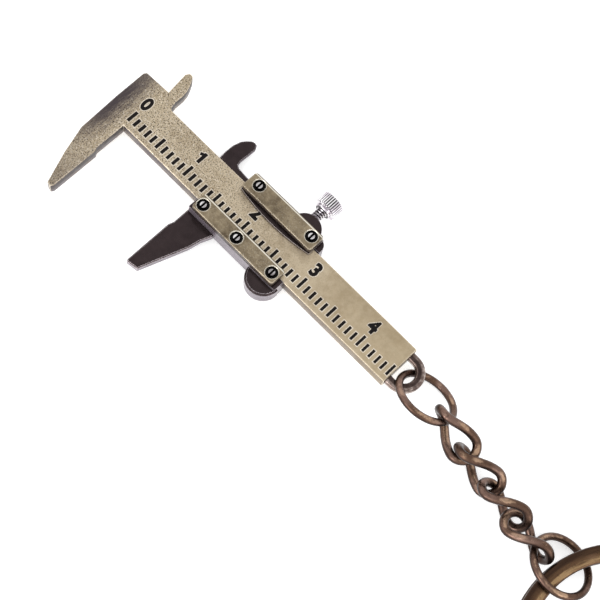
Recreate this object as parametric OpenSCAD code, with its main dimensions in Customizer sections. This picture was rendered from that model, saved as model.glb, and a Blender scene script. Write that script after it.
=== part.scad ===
// Keychain vernier caliper: a brass beam with two fixed jaws, a dark cast slider with two moving
// jaws, cover strips, a spring plate, five strip screws, a thumb lock screw, and a twisted curb
// chain with two jump rings and a split ring. Millimetres, Z up, scale face up.

/* [Beam] */
// Length of the beam from the zero mark to its free end
beam_len = 45.45; // [42:0.05:50]
// Width of the beam
beam_w = 5.8; // [5.4:0.1:6.6]
// Thickness of the beam
beam_t = 2.0; // [1.8:0.1:2.4]
// How far the fixed outside jaw reaches below the beam
outer_reach = 12.1; // [10:0.1:14]
// How far the fixed inside jaw reaches above the beam
inner_reach = 5.25; // [4:0.05:6]
// Bevel along the rims of the beam and its jaws
jaw_bevel = 0.18; // [0.1:0.02:0.24]

/* [End loop] */
// Outside radius of the loop at the beam's free end
loop_r = 2.65; // [2.4:0.05:2.7]
// Radius of the loop's eye
loop_eye_r = 1.42; // [1.38:0.02:1.5]
// Thickness of the loop
loop_t = 1.1; // [0.9:0.05:1.2]

/* [Slider] */
// Opening between the outside measuring faces at rest
opening = 12.8; // [2:0.1:20]
// Length of the slider's back plate
slider_len = 15.0; // [14.8:0.1:16]
// Running gap between the beam and the slider's channel
run_gap = 0.05; // [0.03:0.01:0.08]
// Thickness of the slider's back plate
back_t = 0.6; // [0.5:0.05:0.8]
// Width of each rail beside the beam
rail_w = 1.5; // [1.45:0.05:1.7]
// Height of the lower rail's top above the beam's face
rail_up = 0.3; // [0.28:0.02:0.4]
// Radius of the thumb tab
tab_r = 2.35; // [2:0.05:2.6]
// Radius of the ear that carries the lock screw
ear_r = 2.1; // [2:0.02:2.2]

/* [Cover strips] */
// Thickness of the two cover strips
strip_t = 1.0; // [0.8:0.05:1.2]
// How far the lower strip reaches over the beam
lower_lap = 0.83; // [0.5:0.01:1]
// How far the upper strip reaches over the beam
upper_lap = 1.0; // [0.6:0.05:1.2]
// Corner rounding of the strips
strip_corner = 0.4; // [0.3:0.05:0.6]
// Thickness of the spring plate
leaf_t = 0.22; // [0.15:0.01:0.24]

/* [Strip screws] */
// Radius of the screw heads
head_r = 0.54; // [0.48:0.01:0.6]
// Radius of the screw shanks
shank_r = 0.3; // [0.25:0.01:0.32]
// Width of the screwdriver slot
slot_w = 0.28; // [0.2:0.02:0.36]
// How far the shanks reach below the beam's face
shank_depth = 0.7; // [0.5:0.05:1]

/* [Lock screw] */
// Radius of the lock screw's shank
lock_r = 0.76; // [0.6:0.02:0.78]
// Radius of the knurled head
knob_r = 1.7; // [1.5:0.02:1.74]
// Length of the knurled head
knob_len = 1.8; // [1.5:0.1:2.4]
// Number of flutes round the head
knob_flutes = 34; // [20:1:40]

/* [Chain] */
// Wire thickness of the curb links
link_wire = 1.12; // [1:0.02:1.16]
// Inside length of a link
link_inner = 5.75; // [5.7:0.01:5.8]
// Inside width of a link
link_inner_w = 2.36; // [2.32:0.01:2.4]
// Wire thickness of the jump rings
ring_wire = 0.95; // [0.86:0.01:0.96]
// Inside diameter of the jump rings
ring_inner = 6.65; // [6.62:0.01:6.7]
// Width of the cut in a jump ring
ring_cut = 0.12; // [0.05:0.01:0.2]

/* [Split ring] */
// Outside radius of the split ring
key_r = 14.0; // [13.98:0.01:14.2]
// Radial width of the split ring's flat wire
key_band = 2.1; // [1.8:0.05:2.1]
// Thickness of one coil
coil_t = 0.95; // [0.8:0.01:0.96]
// Gap between the two coils
coil_gap = 0.1; // [0.04:0.01:0.1]

/* [Hidden] */
$fn = 64;

brass = [0.66, 0.60, 0.47];
gunmetal = [0.22, 0.18, 0.19];
spring_steel = [0.30, 0.28, 0.28];
bright_steel = [0.78, 0.78, 0.80];
bronze = [0.48, 0.39, 0.30];
ring_brass = [0.62, 0.52, 0.36];

eps = 0.01;

// Jaw datums: the fixed measuring face, and the moving one at the rest opening
face_x = 0.35;
slide_x = face_x + opening;
jaw_mid_y = -8.3;

// Heights of the layers over the beam's back and face
back_top = -beam_t - run_gap;
back_low = back_top - back_t;
strip_low = rail_up;
strip_top = strip_low + strip_t;
leaf_low = strip_low - leaf_t;
upper_rail_top = leaf_low;

// Rails beside the beam
lower_in = -run_gap;
lower_out = lower_in - rail_w - run_gap;
upper_in = beam_w + run_gap;
upper_out = upper_in + rail_w;

// Along the slider, measured from the moving outside face
plate_x0 = 0.25;
plate_x1 = plate_x0 + slider_len;
lower_x0 = 0.4;
lower_x1 = plate_x1 + 0.05;
upper_x0 = 3.0;
upper_x1 = plate_x1 + 0.3;
lower_strip_x = [0.8, lower_x1 - 0.58];
upper_strip_x = [upper_x0, upper_x1 - 0.75];

// Strip screws, two rows, along the slider
lower_screw_x = [1.75, 7.55, plate_x1 - 1.6];
upper_screw_x = [4.55, plate_x1 - 1.64];
lower_screw_y = lower_in - 0.43;
upper_screw_y = upper_in + 0.47;
screw_fit = 0.01;
head_gap = 0.25;
head_sink = 0.35;
head_proud = 0.05;

// Lock screw across the ear
lock_x = plate_x1 - 3.5;
ear_x = plate_x1 - 3.15;
ear_y = upper_out - 0.52;
ear_low = -1.9;
lock_z = (ear_low + upper_rail_top) / 2 + 0.01;
lock_gap = 0.05;
lock_tip_y = beam_w + 0.2;
collar_y = upper_out + 2.95;
collar_len = 0.3;
collar_r = 1.1;

// Moving outside jaw: its front and back
moving_front = -1.07;
moving_back = -beam_t - 0.15;

// End loop
loop_x = beam_len + 0.75;
loop_y = beam_w / 2 - 0.02;
loop_z = -beam_t / 2 + 0.05;
loop_round = loop_t * 0.38;

// Chain: place of each piece from the loop's centre, then its turn
ring_r = (ring_inner + ring_wire) / 2;
ring_1_pos = [4.07, -0.38, 0.37];
ring_1_turn = [0, 38.2, 93];
link_pos = [[9.44, -1.16, 0.5], [14.22, -2.07, -0.06], [19.26, -2.9, -0.03], [23.8, -3.74, -0.01]];
link_turn = [[2.6, 6.1, -12.6], [20.3, 2.9, -3.4], [39.9, -2.3, -1.3], [64.1, -2.6, -3.4]];
ring_2_pos = [28.82, -3.38, -0.18];
ring_2_turn = [0, 28.29, 83.23];
key_pos = [27.8 + key_r, -6.33, 0.004 - 0.0403 * key_r];
key_turn = [0, 2.31, 0];

// Curb link: straight half, bend radius, and the wire plane's turn from end to end
link_bend = (link_inner_w + link_wire) / 2;
link_half = (link_inner + link_wire) / 2 - link_bend;
twist_from = 98;
twist_to = 14;
twist_span = link_half + 1.2;
link_stations = 44;
link_sides = 10;
ramp_half = 14;
ramp_steps = 7;

// The whole object stands in the frame of the fixed outside face's centre
module in_frame() {
  translate([-face_x, -jaw_mid_y, beam_t / 2]) children();
}

// Extrude a Y-Z profile along X from a to b
module along_x(a, b) {
  translate([a, 0, 0]) rotate([90, 0, 90]) linear_extrude(height = b - a) children();
}

// Rectangle with four round corners
module round_rect(x0, y0, x1, y1, r) {
  difference() {
    translate([x0, y0]) square([x1 - x0, y1 - y0]);
    for (c = [[x0, y0, 0], [x1, y0, 90], [x1, y1, 180], [x0, y1, 270]])
      translate([c[0], c[1]]) rotate(c[2]) difference() {
        translate([-1, -1]) square([r + 1, r + 1]);
        translate([r, r]) circle(r);
      }
  }
}

// Twice the signed area of the triangle a, b, c
function area2(a, b, c) = (b[0] - a[0]) * (c[1] - a[1]) - (b[1] - a[1]) * (c[0] - a[0]);

// Whether corner k of the outline q can be cut off as a triangle
function is_ear(q, idx, k) =
  let (n = len(idx), i = idx[(k + n - 1) % n], j = idx[k], m = idx[(k + 1) % n],
       a = q[i], b = q[j], c = q[m])
    area2(a, b, c) > 0.000001 &&
    len([for (w = idx)
      if (w != i && w != j && w != m && area2(a, b, q[w]) >= 0 && area2(b, c, q[w]) >= 0
          && area2(c, a, q[w]) >= 0) w]) == 0;

function first_ear(q, idx, k = 0) =
  k >= len(idx) ? 0 : is_ear(q, idx, k) ? k : first_ear(q, idx, k + 1);

// Triangles that fill the flat outline q
function flat_fill(q, idx) =
  len(idx) == 3 ? [idx]
  : let (k = first_ear(q, idx), n = len(idx))
    concat([[idx[(k + n - 1) % n], idx[k], idx[(k + 1) % n]]],
           flat_fill(q, [for (i = [0 : n - 1]) if (i != k) idx[i]]));

// Plate of the outline p, counterclockwise from above, with all its rims bevelled by c
module bevel_plate(p, z0, z1, c) {
  n = len(p);
  q = [for (i = [0 : n - 1])
    let (u = unit(p[i] - p[(i + n - 1) % n]), v = unit(p[(i + 1) % n] - p[i]),
         a = [-u[1], u[0]], b = [-v[1], v[0]])
      p[i] + c * (a + b) / (1 + a * b)];
  levels = [[q, z0], [p, z0 + c], [p, z1 - c], [q, z1]];
  pts = [for (l = levels) for (w = l[0]) [w[0], w[1], l[1]]];
  sides = [for (k = [0 : 2]) for (i = [0 : n - 1])
    let (j = (i + 1) % n)
      for (f = [[k * n + i, (k + 1) * n + i, (k + 1) * n + j],
                [k * n + i, (k + 1) * n + j, k * n + j]]) f];
  fill = flat_fill(q, [for (i = [0 : n - 1]) i]);
  top = 3 * n;
  polyhedron(points = pts,
             faces = concat(sides, fill,
                            [for (f = fill) [top + f[0], top + f[2], top + f[1]]]));
}

// Outline of the head, both fixed jaws and the bar
head_top = beam_w + 1.4;
inside_y = beam_w + inner_reach;
beam_plan = [[0.52, head_top + 0.06], [-3.28, head_top - 0.06], [-3.54, beam_w + 0.94],
             [-3.49, 2.1], [-3.23, -3.97], [-2.1, -outer_reach + 4.35],
             [-0.51, -outer_reach + 0.18], [0.1, -outer_reach], [face_x, -outer_reach + 0.4],
             [face_x, -4.9], [0.12, -4.5], [0.12, 0], [beam_len, 0], [beam_len, beam_w],
             [2.6, beam_w], [2.3, beam_w + 0.3], [2.12, beam_w + 1.2],
             [2.12, beam_w + 2.5], [1.95, inside_y - 1.85], [1.6, inside_y - 1.05],
             [1.15, inside_y - 0.25], [0.9, inside_y], [0.4, inside_y], [0.1, inside_y - 0.55]];

module end_loop() {
  translate([loop_x, loop_y, loop_z]) {
    rotate([0, 0, -90]) rotate_extrude(angle = 180)
      round_rect(loop_eye_r, -loop_t / 2, loop_r, loop_t / 2, loop_round);
    for (side = [-1, 1])
      along_x(beam_len - loop_x - 0.3, 0)
        round_rect(side > 0 ? loop_eye_r : -loop_r, -loop_t / 2,
                   side > 0 ? loop_r : -loop_eye_r, loop_t / 2, loop_round);
  }
}

module beam() {
  color(brass) in_frame() {
    bevel_plate(beam_plan, -beam_t, 0, jaw_bevel);
    end_loop();
  }
}

// Moving outside jaw, down its measuring side and up its back into the lower rail
moving_outer = [[0.25, lower_out + 0.6], [0.25, -3.9], [0, -4.65], [0, -outer_reach + 0.8],
                [0.15, -outer_reach + 0.5], [1.72, -outer_reach + 0.72],
                [3.97, lower_out - 3.32], [4.29, lower_out - 1.69], [4.85, lower_out - 0.25],
                [4.85, lower_out + 0.6]];
// Moving inside jaw, a hooked blade at the back plate's level
blade_plan = [[3.4, 3.6], [3.4, beam_w + 1.32], [1.83, beam_w + 1.34], [0.26, beam_w + 1.45],
              [-0.18, beam_w + 1.72], [-0.28, beam_w + 2.31], [-0.2, inside_y - 1.4],
              [-0.18, inside_y - 0.54], [-0.5, inside_y + 0.05], [-0.88, inside_y + 0.15],
              [-1.3, inside_y + 0.05], [-1.79, beam_w + 4.83], [-2.25, beam_w + 4.22],
              [-2.55, beam_w + 3.12], [-2.59, beam_w + 1.87], [-2.5, beam_w + 0.82],
              [-1.9, 4.4], [1.0, 3.2]];

module lower_rail() {
  along_x(lower_x0, lower_x1)
    polygon([[lower_in, back_low], [lower_out + 0.3, back_low], [lower_out, back_low + 0.5],
             [lower_out, rail_up], [lower_in, rail_up]]);
}

module upper_rail() {
  intersection() {
    along_x(upper_x0, upper_x1)
      polygon([[upper_in, back_low], [upper_in, upper_rail_top], [upper_out, upper_rail_top],
               [upper_out, back_low + 0.5], [upper_out - 0.3, back_low]]);
    translate([0, 0, back_low - 1]) linear_extrude(height = 6)
      union() {
        translate([upper_x0 - 1, 0]) square([upper_x1 - 1.1 - upper_x0 + 1, upper_out + 1]);
        translate([upper_x1 - 1.2, 0]) square([1.2, upper_out - 1.1]);
        translate([upper_x1 - 1.1, upper_out - 1.1]) circle(1.1);
      }
  }
}

module back_plate() {
  translate([plate_x0, lower_in - 0.4, back_low])
    cube([slider_len, beam_w + 0.8 + 2 * run_gap, back_t]);
}

module inside_blade() {
  bevel_plate(blade_plan, back_low + 0.02, back_top - 0.02, jaw_bevel * 0.6);
}

module outside_jaw() {
  bevel_plate(moving_outer, moving_back, moving_front, jaw_bevel * 0.8);
}

module thumb_tab() {
  intersection() {
    translate([plate_x1 - 2.1, lower_out + 0.35, 0]) {
      translate([0, 0, moving_back + 0.05]) cylinder(h = 1.75, r = tab_r);
      translate([0, 0, moving_back + 1.8]) cylinder(h = 0.3, r1 = tab_r, r2 = tab_r - 0.25);
    }
    translate([0, lower_out - 4, back_low]) cube([plate_x1 + 4, 4.5, 4]);
  }
}

module ear() {
  intersection() {
    translate([ear_x, ear_y, ear_low]) cylinder(h = upper_rail_top - ear_low, r = ear_r);
    translate([ear_x - 4, upper_in + 0.4, back_low]) cube([8, 6, 4]);
  }
}

module screw_places(xs, y) {
  for (x = xs) translate([x, y, 0]) children();
}

module slider() {
  color(gunmetal) in_frame() translate([slide_x, 0, 0])
    difference() {
      union() {
        lower_rail();
        upper_rail();
        back_plate();
        inside_blade();
        outside_jaw();
        thumb_tab();
        ear();
      }
      screw_places(lower_screw_x, lower_screw_y)
        translate([0, 0, -shank_depth - 0.1]) cylinder(h = 3, r = shank_r + screw_fit, $fn = 32);
      screw_places(upper_screw_x, upper_screw_y)
        translate([0, 0, -shank_depth - 0.1]) cylinder(h = 3, r = shank_r + screw_fit, $fn = 32);
      translate([lock_x, upper_in - 0.5, lock_z]) rotate([-90, 0, 0])
        cylinder(h = 6, r = lock_r + lock_gap);
    }
}

// A cover strip: round plan corners, bevelled top rim, countersunk screw seats
module cover_strip(x, y0, y1, xs, ys) {
  rim = 0.15;
  difference() {
    union() {
      translate([0, 0, strip_low]) linear_extrude(height = strip_t - rim)
        round_rect(x[0], y0, x[1], y1, strip_corner);
      intersection() {
        translate([0, 0, strip_top - rim - eps]) linear_extrude(height = rim + eps)
          round_rect(x[0], y0, x[1], y1, strip_corner);
        along_x(x[0], x[1])
          polygon([[y0, strip_low], [y0, strip_top - rim], [y0 + rim, strip_top],
                   [y1 - rim, strip_top], [y1, strip_top - rim], [y1, strip_low]]);
        translate([0, y1, 0]) rotate([90, 0, 0]) linear_extrude(height = y1 - y0)
          polygon([[x[0], strip_low], [x[0], strip_top - rim], [x[0] + rim, strip_top],
                   [x[1] - rim, strip_top], [x[1], strip_top - rim], [x[1], strip_low]]);
      }
    }
    screw_places(xs, ys) {
      translate([0, 0, strip_low - 1]) cylinder(h = 3, r = shank_r + screw_fit, $fn = 32);
      translate([0, 0, strip_top - head_sink]) cylinder(h = 1, r = head_r + head_gap, $fn = 48);
    }
  }
}

module lower_strip() {
  color(brass) in_frame() translate([slide_x, 0, 0])
    cover_strip(lower_strip_x, lower_out, lower_lap, lower_screw_x, lower_screw_y);
}

module upper_strip() {
  color(brass) in_frame() translate([slide_x, 0, 0])
    cover_strip(upper_strip_x, beam_w - upper_lap, upper_out + 0.04, upper_screw_x, upper_screw_y);
}

// Spring plate with a bowed front edge over the beam
module leaf_spring() {
  mid_x = (upper_strip_x[0] + upper_strip_x[1]) / 2;
  half = (upper_strip_x[1] - upper_strip_x[0]) / 2;
  bow = 0.58;
  bow_r = (half * half + bow * bow) / (2 * bow);
  front = beam_w - upper_lap - 0.03;
  color(spring_steel) in_frame() translate([slide_x, 0, leaf_low])
    linear_extrude(height = leaf_t)
      difference() {
        union() {
          translate([upper_strip_x[0], front]) square([2 * half, upper_out - front]);
          intersection() {
            translate([mid_x, front - bow + bow_r]) circle(bow_r, $fn = 360);
            translate([upper_strip_x[0], front - bow - 0.1]) square([2 * half, bow + 0.2]);
          }
        }
        for (x = upper_screw_x)
          translate([x, upper_screw_y]) circle(shank_r + screw_fit, $fn = 32);
      }
}

// Slotted cheese-head screw, its head in the strip's seat
module strip_screw() {
  head_low = strip_top - head_sink;
  difference() {
    union() {
      translate([0, 0, head_low]) cylinder(h = head_sink + head_proud - 0.04, r = head_r, $fn = 48);
      translate([0, 0, strip_top + head_proud - 0.04])
        cylinder(h = 0.04, r1 = head_r, r2 = head_r - 0.04, $fn = 48);
      translate([0, 0, -shank_depth]) cylinder(h = head_low + shank_depth + eps, r = shank_r, $fn = 32);
    }
    translate([-slot_w / 2, -head_r - 1, strip_top + head_proud - 0.2])
      cube([slot_w, 2 * head_r + 2, 1]);
  }
}

module strip_screws() {
  color(bright_steel) in_frame() translate([slide_x, 0, 0]) {
    screw_places(lower_screw_x, lower_screw_y) strip_screw();
    screw_places(upper_screw_x, upper_screw_y) strip_screw();
  }
}

// Thumb lock screw along Y: shank, collar and fluted head
module lock_screw() {
  step = 360 / knob_flutes;
  flute = 0.1;
  color(bright_steel) in_frame() translate([slide_x + lock_x, lock_tip_y, lock_z])
    rotate([-90, 0, 0]) {
      cylinder(h = collar_y - lock_tip_y + 0.1, r = lock_r);
      translate([0, 0, collar_y - lock_tip_y]) cylinder(h = collar_len + 0.1, r = collar_r);
      translate([0, 0, collar_y - lock_tip_y + collar_len]) {
        cylinder(h = 0.2, r1 = knob_r - 0.2, r2 = knob_r - flute);
        translate([0, 0, 0.2]) linear_extrude(height = knob_len - 0.4)
          polygon([for (i = [0 : knob_flutes - 1]) for (k = [0 : 3])
            let (a = (i + k / 4 + 0.125) * step, r = k < 2 ? knob_r : knob_r - flute)
              [r * cos(a), r * sin(a)]]);
        translate([0, 0, knob_len - 0.2]) cylinder(h = 0.2, r1 = knob_r - flute, r2 = knob_r - 0.3);
      }
    }
}

// Chain pieces stand relative to the end loop's centre
module on_chain(p, t) {
  translate([loop_x, loop_y, loop_z]) translate(p) rotate(t) children();
}

// Jump ring of round wire with its saw cut turned to the side
module jump_ring(cut_turn) {
  difference() {
    rotate_extrude() translate([ring_r, 0]) circle(ring_wire / 2, $fn = 32);
    rotate([0, 0, cut_turn]) translate([0, -ring_cut / 2, -ring_wire])
      cube([ring_r + ring_wire, ring_cut, 2 * ring_wire]);
  }
}

module beam_ring() {
  color(bronze) in_frame() on_chain(ring_1_pos, ring_1_turn) jump_ring(-115);
}

module chain_ring() {
  color(bronze) in_frame() on_chain(ring_2_pos, ring_2_turn) jump_ring(-30);
}

// Point of the link's untwisted centre line at the fraction u of the way round
function track(u) =
  let (straight = 2 * link_half, bend = PI * link_bend, s = u * 2 * (straight + bend))
  s < straight ? [s - link_half, link_bend]
  : s < straight + bend ?
      let (a = (s - straight) / link_bend * 180 / PI)
      [link_half + link_bend * sin(a), link_bend * cos(a)]
  : s < 2 * straight + bend ? [link_half - (s - straight - bend), -link_bend]
  : let (a = (s - 2 * straight - bend) / link_bend * 180 / PI)
    [-link_half - link_bend * sin(a), -link_bend * cos(a)];

function ease(u) = let (c = min(max(u, 0), 1)) c * c * (3 - 2 * c);

function twist_at(x) =
  twist_from + (twist_to - twist_from) * ease((x + twist_span) / (2 * twist_span));

function on_link(u) =
  let (q = track(u - floor(u)), a = twist_at(q[0])) [q[0], q[1] * cos(a), q[1] * sin(a)];

function unit(v) = v / norm(v);

// Twisted curb link: round wire swept round a closed line whose plane turns along the link
module curb_link() {
  n = link_stations;
  m = link_sides;
  rings = [for (i = [0 : n - 1])
    let (u = (i + 0.5) / n, c = on_link(u), t = unit(on_link(u + 0.002) - on_link(u - 0.002)),
         a = twist_at(c[0]), w = [0, -sin(a), cos(a)],
         p = unit(w - t * (w * t)), q = cross(t, p))
      for (j = [0 : m - 1])
        c + link_wire / 2 * (cos((j + 0.5) * 360 / m) * p + sin((j + 0.5) * 360 / m) * q)];
  faces = [for (i = [0 : n - 1]) for (j = [0 : m - 1])
    let (a = i * m + j, b = i * m + (j + 1) % m, c = ((i + 1) % n) * m + (j + 1) % m,
         d = ((i + 1) % n) * m + j)
      for (f = [[a, b, c], [a, c, d]]) f];
  polyhedron(points = rings, faces = faces, convexity = 4);
}

module chain_link(i) {
  color(bronze) in_frame() on_chain(link_pos[i], link_turn[i]) curb_link();
}

module chain_link_1() {
  chain_link(0);
}

module chain_link_2() {
  chain_link(1);
}

module chain_link_3() {
  chain_link(2);
}

module chain_link_4() {
  chain_link(3);
}

// The slanted piece of flat wire between the lower and the upper coil
module coil_ramp() {
  rise = coil_t + coil_gap;
  low = -coil_t - coil_gap / 2;
  r0 = key_r - key_band;
  pts = [for (i = [0 : ramp_steps])
    let (f = i / ramp_steps, a = -ramp_half - 1 + (2 * ramp_half + 2) * f,
         z = low + rise * ease((f - 0.08) / 0.84))
      for (c = [[r0, z], [key_r, z], [key_r, z + coil_t], [r0, z + coil_t]])
        [c[0] * cos(a), c[0] * sin(a), c[1]]];
  sides = [for (i = [0 : ramp_steps - 1]) for (j = [0 : 3])
    let (a = i * 4 + j, b = i * 4 + (j + 1) % 4, c = b + 4, d = a + 4)
      for (f = [[a, b, c], [a, c, d]]) f];
  e = ramp_steps * 4;
  polyhedron(points = pts,
             faces = concat(sides, [[0, 3, 2], [0, 2, 1]],
                            [[e, e + 1, e + 2], [e, e + 2, e + 3]]));
}

// Split ring: two flat coils joined by the ramp, both ends stopping beside it
module key_ring() {
  color(ring_brass) in_frame() on_chain(key_pos, key_turn) {
    for (z = [-coil_t - coil_gap / 2, coil_gap / 2])
      rotate([0, 0, ramp_half]) rotate_extrude(angle = 360 - 2 * ramp_half, $fn = 128)
        translate([key_r - key_band, z]) square([key_band, coil_t]);
    coil_ramp();
  }
}

beam();
slider();
lower_strip();
upper_strip();
leaf_spring();
strip_screws();
lock_screw();
beam_ring();
chain_link_1();
chain_link_2();
chain_link_3();
chain_link_4();
chain_ring();
key_ring();
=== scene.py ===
"""Looks of the keychain vernier caliper: finishes, finer meshes, floor, light and camera.

Pieces are built in millimetres in the beam's own frame (x from the zero mark, y from the beam's
lower edge, z from its scale face) and move into the row frame, in metres, when a mesh is finished.
Places and widths in the finishes are in metres in the row frame.
"""

import logging
import math
from dataclasses import dataclass, field
from enum import Enum
from typing import Optional, Sequence

import bmesh
import bpy
from mathutils import Matrix, Vector


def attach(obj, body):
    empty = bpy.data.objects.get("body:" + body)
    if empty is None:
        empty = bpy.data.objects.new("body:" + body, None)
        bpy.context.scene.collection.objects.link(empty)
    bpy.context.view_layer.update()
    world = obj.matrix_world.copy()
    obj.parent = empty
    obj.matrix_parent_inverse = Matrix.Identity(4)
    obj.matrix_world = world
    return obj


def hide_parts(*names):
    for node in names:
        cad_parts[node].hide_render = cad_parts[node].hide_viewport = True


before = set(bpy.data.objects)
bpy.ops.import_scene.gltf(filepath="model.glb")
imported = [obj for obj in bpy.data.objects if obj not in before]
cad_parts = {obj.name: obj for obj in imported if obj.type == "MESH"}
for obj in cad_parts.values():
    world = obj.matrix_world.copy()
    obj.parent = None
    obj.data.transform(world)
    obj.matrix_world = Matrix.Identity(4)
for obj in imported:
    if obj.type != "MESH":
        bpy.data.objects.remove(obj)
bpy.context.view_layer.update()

log = logging.getLogger("caliper")

Colour = tuple[float, float, float]
Point = tuple[float, float]
Place = tuple[float, float, float]
Mesh = bmesh.types.BMesh
Piece = bpy.types.Object
Material = bpy.types.Material
Socket = bpy.types.NodeSocket

MM = 0.001
DATUM = Vector((0.35, -8.3, -1.0))
SHARP_ANGLE = math.radians(38)
WELD = 1e-5
LEVEL = 1e-6
WIRE_SIDES = 20


class Body(str, Enum):
    """The moving bodies that pieces ride on."""

    BEAM = "beam"
    SLIDER = "slider"
    LOCK = "lock_screw"
    BEAM_RING = "beam_ring"
    LINK_1 = "chain_link_1"
    LINK_2 = "chain_link_2"
    LINK_3 = "chain_link_3"
    LINK_4 = "chain_link_4"
    CHAIN_RING = "chain_ring"
    KEY_RING = "key_ring"


def tint(*levels: int) -> Colour:
    """Turn a display colour into the linear colour that a shader takes.

    Args:
        levels: Red, green and blue, from 0 to 255.

    Returns:
        The linear colour.
    """
    return tuple(part / 12.92 if part <= 0.04045 else ((part + 0.055) / 1.055) ** 2.4
                 for part in (level / 255 for level in levels))


def ease(share: float) -> float:
    """Smooth step from 0 to 1, level at both ends."""
    share = min(max(share, 0.0), 1.0)
    return share * share * (3 - 2 * share)


# ---------------------------------------------------------------- mesh helpers


def only(kind: type, geometry: Sequence[object]) -> list:
    """The elements of one kind in an operator's result."""
    return [item for item in geometry if isinstance(item, kind)]


def move(bm: Mesh, place: Matrix) -> None:
    """Move all of a mesh."""
    bmesh.ops.transform(bm, matrix=place, verts=bm.verts[:])


def link_new(name: str, bm: Mesh) -> Piece:
    """Turn a mesh into an object at the origin.

    Args:
        name: The object's name.
        bm: The mesh, which is freed.

    Returns:
        The new object.
    """
    mesh = bpy.data.meshes.new(name)
    bm.to_mesh(mesh)
    bm.free()
    piece = bpy.data.objects.new(name, mesh)
    bpy.context.scene.collection.objects.link(piece)
    return piece


def finish_mesh(bm: Mesh, name: str, smooth: bool = True) -> Piece:
    """Move a mesh from beam millimetres into the row frame and make it a piece.

    Args:
        bm: The mesh, which is freed.
        name: The piece's name.
        smooth: Whether its faces are shaded smooth, with sharp edges kept sharp.

    Returns:
        The new piece, at the origin.
    """
    move(bm, Matrix.Scale(MM, 4) @ Matrix.Translation(-DATUM))
    bmesh.ops.recalc_face_normals(bm, faces=bm.faces[:])
    for face in bm.faces:
        face.smooth = smooth
    for edge in bm.edges:
        edge.smooth = edge.calc_face_angle(0.0) < SHARP_ANGLE
    return link_new(name, bm)


def flat_face(points: Sequence[Sequence[float]], rounding: float = 0.0,
              segments: int = 4) -> Mesh:
    """Make a mesh of one flat face and round its corners.

    Args:
        points: The corners, in order.
        rounding: How far from a corner its rounding starts.
        segments: Edges round a corner.

    Returns:
        The face's mesh.
    """
    bm = bmesh.new()
    bm.faces.new([bm.verts.new(point) for point in points])
    if rounding > 0:
        bmesh.ops.bevel(bm, geom=bm.verts[:], offset=rounding, segments=segments, profile=0.5,
                        affect="VERTICES", material=-1)
    return bm


def disc(radius: float, height: float, segments: int = 36) -> Mesh:
    """Make a flat round face, to start a turned piece from.

    Args:
        radius: Its radius.
        height: Where it lies on the Z axis.
        segments: Edges round it.

    Returns:
        The face's mesh.
    """
    bm = bmesh.new()
    bmesh.ops.create_circle(bm, cap_ends=True, segments=segments, radius=radius,
                            matrix=Matrix.Translation((0, 0, height)))
    return bm


def stack(bm: Mesh, steps: Sequence[tuple[float, float]]) -> Mesh:
    """Extrude a mesh of one flat face upwards, step by step.

    Args:
        bm: The mesh, whose start face stays as the foot.
        steps: The rise of each step and the scale of its end about the Z axis.

    Returns:
        The same mesh.
    """
    bm.faces.ensure_lookup_table()
    foot = face = bm.faces[0]
    for rise, size in steps:
        grown = bmesh.ops.extrude_face_region(bm, geom=[face])["geom"]
        if face is not foot and face.is_valid:
            bmesh.ops.delete(bm, geom=[face], context="FACES_ONLY")
        face = only(bmesh.types.BMFace, grown)[0]
        bmesh.ops.scale(bm, vec=(size, size, 1), verts=face.verts[:])
        bmesh.ops.translate(bm, vec=(0, 0, rise), verts=face.verts[:])
    return bm


def plate_from_outline(outline: Sequence[Point], low: float, high: float, rim: float,
                       corner: float = 0.0) -> Mesh:
    """Extrude a flat outline into a plate and round its upper and lower rims.

    Args:
        outline: Corners, counterclockwise from above.
        low, high: The plate's back and front.
        rim: Width of the rims' rounding.
        corner: Rounding of the outline's own corners.

    Returns:
        The plate's mesh.
    """
    bm = stack(flat_face([(x, y, low) for x, y in outline], corner, 5), [(high - low, 1.0)])
    level = [edge for edge in bm.edges
             if abs(edge.verts[0].co.z - edge.verts[1].co.z) < LEVEL]
    bmesh.ops.bevel(bm, geom=level, offset=rim, segments=3, profile=0.5, affect="EDGES",
                    material=-1, clamp_overlap=True)
    return bm


def box_part(low: Sequence[float], high: Sequence[float], rim: float) -> Mesh:
    """Make a box between two corners, with its edges rounded.

    Args:
        low, high: Opposite corners.
        rim: Width of the rounding.

    Returns:
        The box's mesh.
    """
    bm = bmesh.new()
    bmesh.ops.create_cube(bm, size=1.0)
    bmesh.ops.scale(bm, vec=[b - a for a, b in zip(low, high)], verts=bm.verts[:])
    bmesh.ops.translate(bm, vec=[(a + b) / 2 for a, b in zip(low, high)], verts=bm.verts[:])
    bmesh.ops.bevel(bm, geom=bm.edges[:], offset=rim, segments=2, profile=0.5, affect="EDGES",
                    material=-1)
    return bm


def spin_round(bm: Mesh, angle: float, steps: int, climb: float = 0.0,
               close: bool = False) -> None:
    """Spin all of a mesh about the Z axis.

    Args:
        bm: The mesh.
        angle: How far, in radians.
        steps: Number of sections on the way.
        climb: Rise of each step.
        close: Whether the last section is joined to the first.
    """
    bmesh.ops.spin(bm, geom=bm.verts[:] + bm.edges[:] + bm.faces[:], cent=(0, 0, 0),
                   axis=(0, 0, 1), dvec=(0, 0, climb), angle=angle, steps=steps, use_merge=close)


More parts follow.
